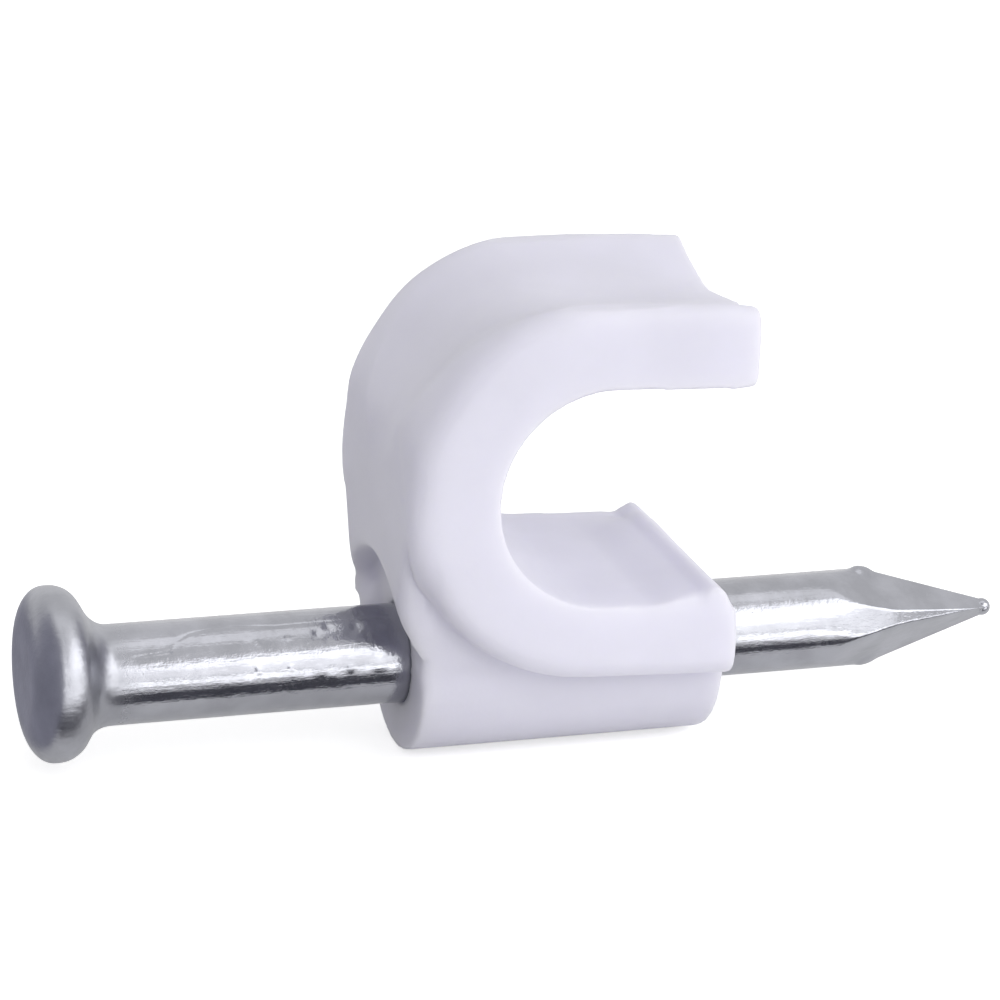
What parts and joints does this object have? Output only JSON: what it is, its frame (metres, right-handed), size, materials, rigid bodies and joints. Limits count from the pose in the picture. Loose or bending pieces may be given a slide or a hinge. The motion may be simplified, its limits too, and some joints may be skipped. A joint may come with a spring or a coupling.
{
  "type": "nail-in cable clip",
  "caption": "White moulded hook that holds a round cable against a wall, with a steel nail started through its boss, ready to be driven home.",
  "frame": {"origin": "on the nail's axis in the plane of the clip's wall face", "axes": "+X along the nail towards its point and into the wall, +Y along the cable, +Z from the nail up to the cable"},
  "size_m": [0.0204, 0.0056, 0.0098],
  "materials": {
    "moulded_plastic": "satin white moulded plastic",
    "plated_steel": "bright zinc plated"
  },
  "bodies": {
    "clip": {"clip_body": "moulded_plastic"},
    "nail": {"nail": "plated_steel"}
  },
  "joints": [
    {"name": "nail_drive", "type": "slide", "parent": "clip", "child": "nail", "axis": [1, 0, 0], "range_m": [0, 0.0059]}
  ]
}
